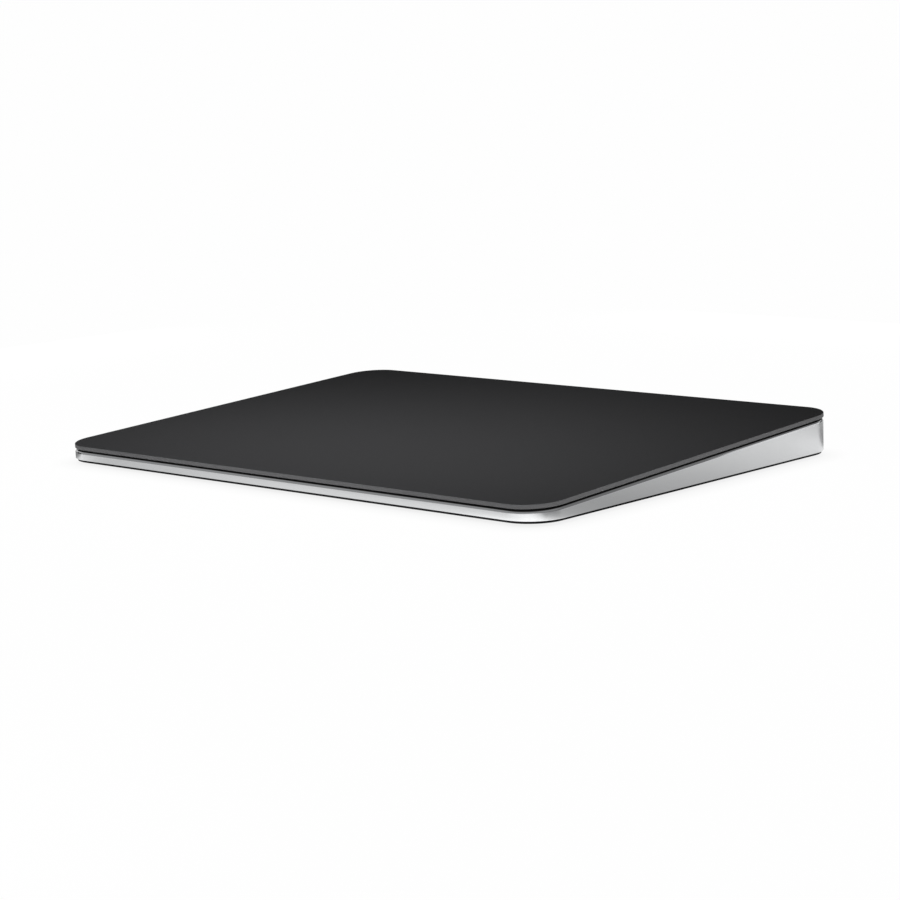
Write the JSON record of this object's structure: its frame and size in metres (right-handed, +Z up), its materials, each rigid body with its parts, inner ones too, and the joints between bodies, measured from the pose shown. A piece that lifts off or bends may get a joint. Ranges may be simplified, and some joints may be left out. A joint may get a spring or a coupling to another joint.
{
  "type": "trackpad",
  "caption": "Low wedge trackpad: a black glass touch plate floats on spring flexures over a shallow aluminium housing with a black base cover.",
  "frame": {"origin": "on the desk, under the middle of the footprint", "axes": "+X to the user's right along the long side, +Y to the rear edge, +Z up"},
  "size_m": [0.16, 0.1149, 0.0109],
  "materials": {
    "glass_black": "matt etched black glass",
    "clear_adhesive": "clear optical adhesive sheet",
    "board_black": "black solder mask",
    "board_green": "green solder mask",
    "spring_steel": "cold rolled stainless steel",
    "chip_black": "moulded epoxy package",
    "connector_black": "moulded black nylon",
    "iron": "soft magnetic iron",
    "copper_winding": "enamelled copper wire",
    "screw_steel": "plated steel",
    "flex_amber": "polyimide ribbon",
    "anodised_aluminium": "bead blasted and anodised",
    "cover_black": "moulded black polycarbonate",
    "foam_tape": "black foam tape",
    "gasket_black": "soft black elastomer",
    "cell_foil": "aluminium laminate pouch",
    "shield_nickel": "nickel plated steel can",
    "ceramic_white": "glazed ceramic",
    "port_steel": "drawn stainless steel",
    "contact_gold": "gold plated contacts",
    "slider_plastic": "moulded grey plastic",
    "marker_green": "green print film",
    "foot_rubber": "black silicone rubber",
    "gel": "clear silicone gel"
  },
  "bodies": {
    "housing_body": {"haptic_core": "iron", "haptic_coils": "copper_winding", "haptic_bracket": "spring_steel", "haptic_screws": "screw_steel", "haptic_cable": "flex_amber", "housing": "anodised_aluminium", "bottom_cover": "cover_black", "cover_bond": "foam_tape", "dust_gasket": "gasket_black", "flexure_screws": "screw_steel", "battery_cell_left": "cell_foil", "battery_cell_right": "cell_foil", "battery_tape": "foam_tape", "battery_board": "board_green", "battery_lead": "flex_amber", "logic_board": "board_green", "board_screws": "screw_steel", "main_processor": "chip_black", "charge_chip": "chip_black", "force_chip": "chip_black", "radio_shield": "shield_nickel", "antenna": "ceramic_white", "ribbon_sockets": "connector_black", "touch_cable": "flex_amber", "gauge_cable": "flex_amber", "port_shell": "port_steel", "port_insulator": "connector_black", "port_contacts": "contact_gold", "switch_body": "connector_black", "foot_front_left": "foot_rubber", "flexure_base_front_left": "spring_steel", "foot_front_right": "foot_rubber", "flexure_base_front_right": "spring_steel", "foot_rear_left": "foot_rubber", "flexure_base_rear_left": "spring_steel", "foot_rear_right": "foot_rubber", "flexure_base_rear_right": "spring_steel"},
    "pad_set": {"gel_pad_front_left": "gel", "gel_pad_front_right": "gel", "gel_pad_rear_left": "gel", "gel_pad_rear_right": "gel"},
    "touch_plate": {"touch_glass": "glass_black", "glass_bond": "clear_adhesive", "sensor_board": "board_black", "stiffener_plate": "spring_steel", "touch_chip": "chip_black", "touch_plug": "connector_black", "haptic_armature": "iron"},
    "power_slider": {"switch_slider": "slider_plastic", "switch_marker": "marker_green"},
    "arm_front_left": {"flexure_arm_front_left": "spring_steel", "strain_gauge_front_left": "flex_amber"},
    "arm_front_right": {"flexure_arm_front_right": "spring_steel", "strain_gauge_front_right": "flex_amber"},
    "arm_rear_left": {"flexure_arm_rear_left": "spring_steel", "strain_gauge_rear_left": "flex_amber"},
    "arm_rear_right": {"flexure_arm_rear_right": "spring_steel", "strain_gauge_rear_right": "flex_amber"}
  },
  "joints": [
    {"name": "press_travel", "type": "slide", "parent": "housing_body", "child": "pad_set", "axis": [0, -0.0521, 0.9986], "range_m": [-0.0002, 0], "stiffness_N_per_m": 20000, "springref_m": 0.0002, "deforming": ["touch_cable"]},
    {"name": "haptic_shift", "type": "slide", "parent": "pad_set", "child": "touch_plate", "axis": [1, 0, 0], "range_m": [-0.00015, 0.00015], "stiffness_N_per_m": 15000},
    {"name": "power_switch", "type": "slide", "parent": "housing_body", "child": "power_slider", "axis": [1, 0, 0], "range_m": [0, 0.0025]},
    {"name": "flexure_bend_front_left", "type": "hinge", "parent": "housing_body", "child": "arm_front_left", "pos_m": [-0.05995, -0.04371, 0.00314], "axis": [0, 0.9986, 0.0521], "range_deg": [0, 1.1], "stiffness_Nm_per_rad": 0.00001, "springref_deg": -81.93},
    {"name": "flexure_bend_front_right", "type": "hinge", "parent": "housing_body", "child": "arm_front_right", "pos_m": [0.05995, -0.04371, 0.00314], "axis": [0, 0.9986, 0.0521], "range_deg": [-1.1, 0], "stiffness_Nm_per_rad": 0.00001, "springref_deg": 81.93},
    {"name": "flexure_bend_rear_left", "type": "hinge", "parent": "housing_body", "child": "arm_rear_left", "pos_m": [-0.05995, 0.04397, 0.00772], "axis": [0, 0.9986, 0.0521], "range_deg": [0, 1.1], "stiffness_Nm_per_rad": 0.00001, "springref_deg": -81.93},
    {"name": "flexure_bend_rear_right", "type": "hinge", "parent": "housing_body", "child": "arm_rear_right", "pos_m": [0.05995, 0.04397, 0.00772], "axis": [0, 0.9986, 0.0521], "range_deg": [-1.1, 0], "stiffness_Nm_per_rad": 0.00001, "springref_deg": 81.93}
  ],
  "couplings": [
    {"joint": "flexure_bend_front_left", "follows": "press_travel", "rad_per_m": -86.957},
    {"joint": "flexure_bend_front_right", "follows": "press_travel", "rad_per_m": 86.957},
    {"joint": "flexure_bend_rear_left", "follows": "press_travel", "rad_per_m": -86.957},
    {"joint": "flexure_bend_rear_right", "follows": "press_travel", "rad_per_m": 86.957}
  ]
}
